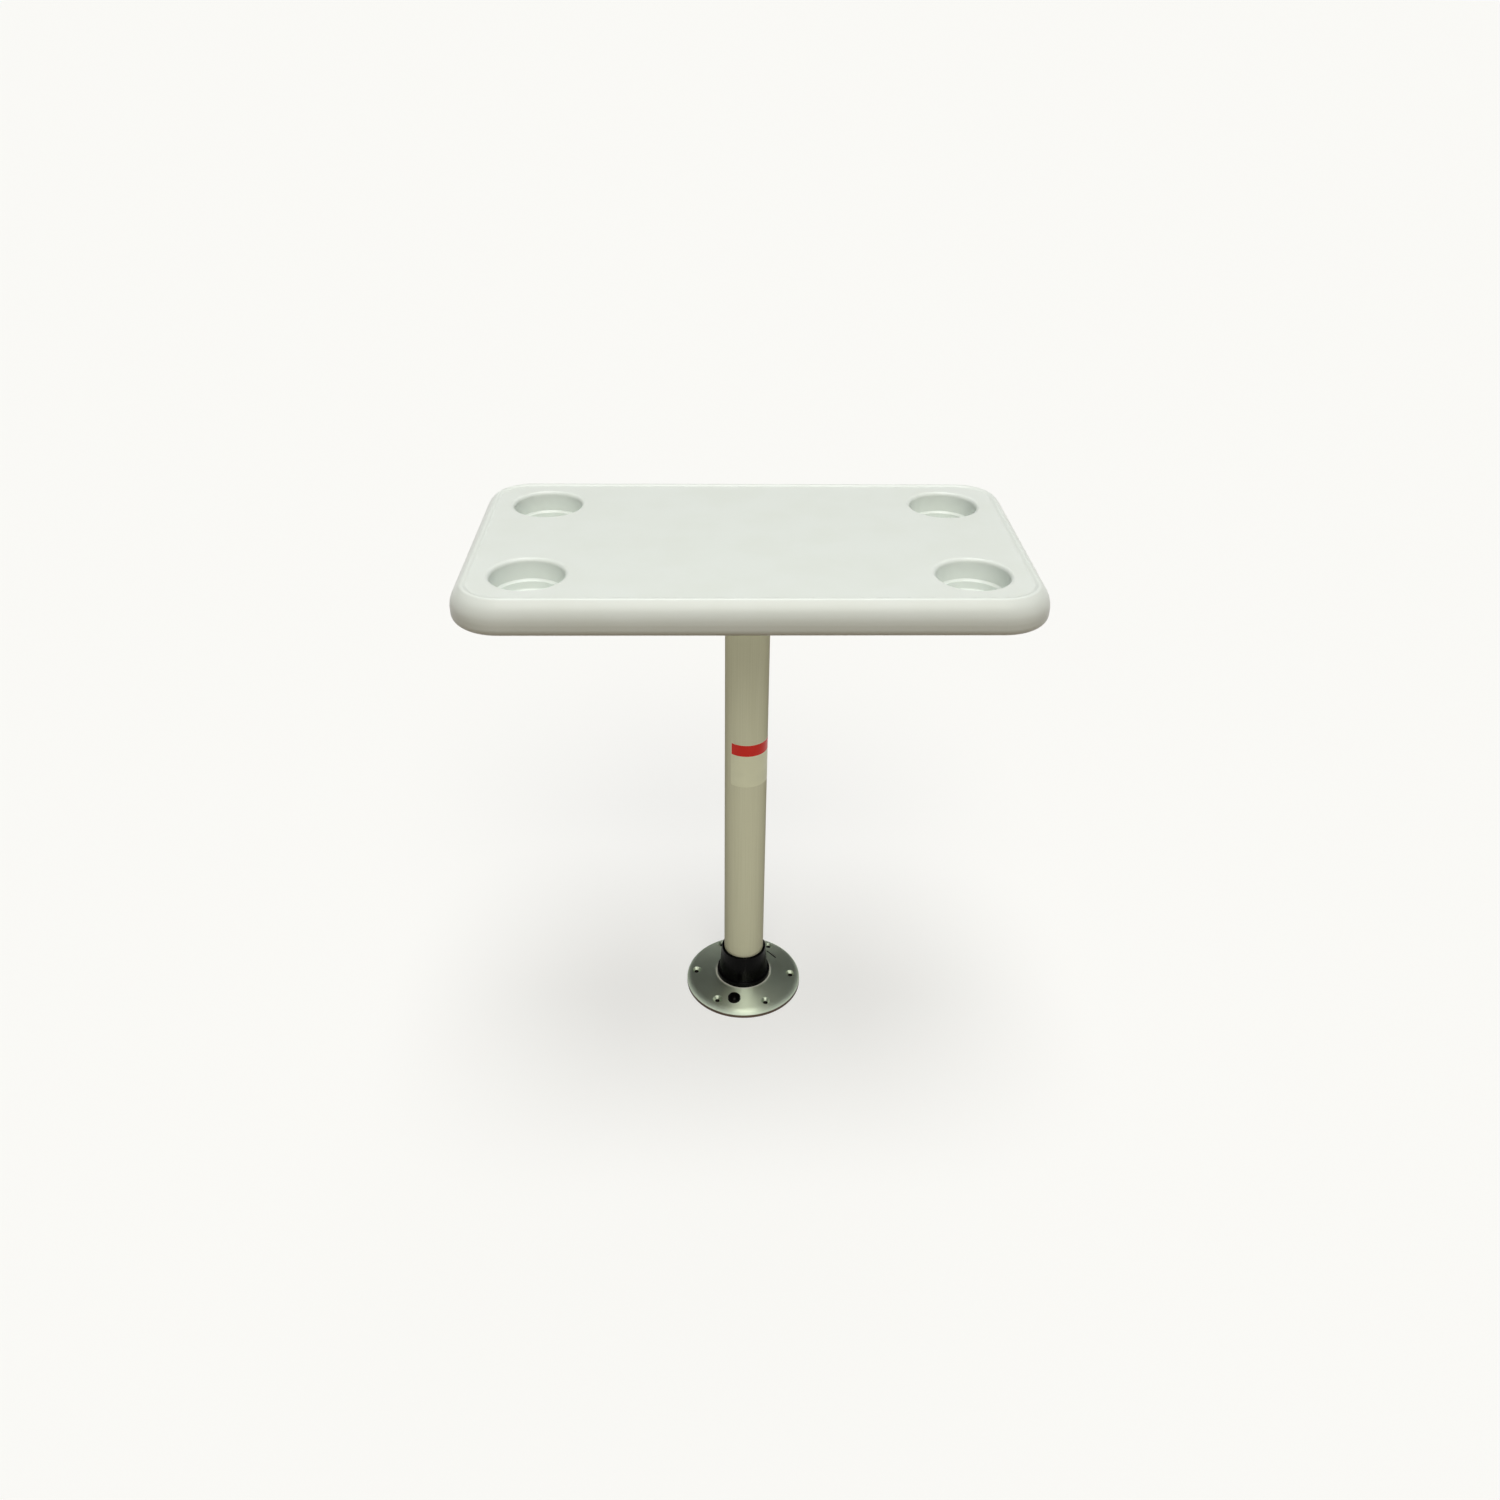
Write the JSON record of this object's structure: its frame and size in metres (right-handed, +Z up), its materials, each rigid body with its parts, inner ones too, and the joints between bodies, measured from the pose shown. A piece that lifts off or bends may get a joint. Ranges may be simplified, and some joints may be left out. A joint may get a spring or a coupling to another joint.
{
  "type": "single pole camper table",
  "caption": "Moulded table top with cup wells on a round tube that plugs into a floor plate and a matching table plate, each with a push button release.",
  "frame": {"origin": "centre of the floor plate on the floor", "axes": "+Z up along the post, +X along the top's long side, -Y towards the viewer in the picture"},
  "size_m": [0.7112, 0.4064, 0.7518],
  "materials": {
    "top_plastic": "off-white moulded plastic with a fine grain and a satin sheen",
    "post_finish": "satin anodised tube, warm champagne grey",
    "plate_finish": "smooth grey-green coat on a casting",
    "black_plastic": "black moulded plastic with a soft gloss",
    "screw_steel": "stainless steel",
    "bolt_steel": "zinc plated steel"
  },
  "bodies": {
    "floor_base": {"floor_plate": "plate_finish", "floor_socket": "black_plastic", "floor_socket_screws": "screw_steel", "floor_latch_cover": "black_plastic", "floor_cover_screws": "screw_steel", "floor_latch_spring": "bolt_steel"},
    "floor_button": {"floor_button": "black_plastic"},
    "floor_bolt": {"floor_latch_bolt": "bolt_steel"},
    "post": {"post_tube": "post_finish", "lower_plug": "black_plastic", "upper_plug": "black_plastic", "lower_cross_pin": "bolt_steel", "upper_cross_pin": "bolt_steel"},
    "table": {"table_top": "top_plastic", "table_plate_screws": "screw_steel", "table_plate": "plate_finish", "table_socket": "black_plastic", "table_socket_screws": "screw_steel", "table_latch_cover": "black_plastic", "table_cover_screws": "screw_steel", "table_latch_spring": "bolt_steel"},
    "table_button": {"table_button": "black_plastic"},
    "table_bolt": {"table_latch_bolt": "bolt_steel"}
  },
  "joints": [
    {"name": "post_swivel", "type": "hinge", "parent": "floor_base", "child": "post", "pos_m": [0, 0, 0.04], "axis": [0, 0, 1], "continuous": true},
    {"name": "table_swivel", "type": "hinge", "parent": "post", "child": "table", "pos_m": [0, 0, 0.66], "axis": [0, 0, 1], "continuous": true},
    {"name": "floor_button_press", "type": "slide", "parent": "floor_base", "child": "floor_button", "axis": [0, 0, -1], "range_m": [0, 0.003], "stiffness_N_per_m": 2500, "springref_m": -0.002, "deforming": ["floor_latch_spring"]},
    {"name": "floor_bolt_slide", "type": "slide", "parent": "floor_base", "child": "floor_bolt", "axis": [-0.2419, -0.9703, 0], "range_m": [0, 0.0042]},
    {"name": "table_button_press", "type": "slide", "parent": "table", "child": "table_button", "axis": [0, 0, 1], "range_m": [0, 0.003], "stiffness_N_per_m": 2500, "springref_m": -0.002, "deforming": ["table_latch_spring"]},
    {"name": "table_bolt_slide", "type": "slide", "parent": "table", "child": "table_bolt", "axis": [0.1045, -0.9945, 0], "range_m": [0, 0.0042]}
  ],
  "couplings": [
    {"joint": "floor_bolt_slide", "follows": "floor_button_press", "ratio": 1.4},
    {"joint": "table_bolt_slide", "follows": "table_button_press", "ratio": 1.4}
  ]
}
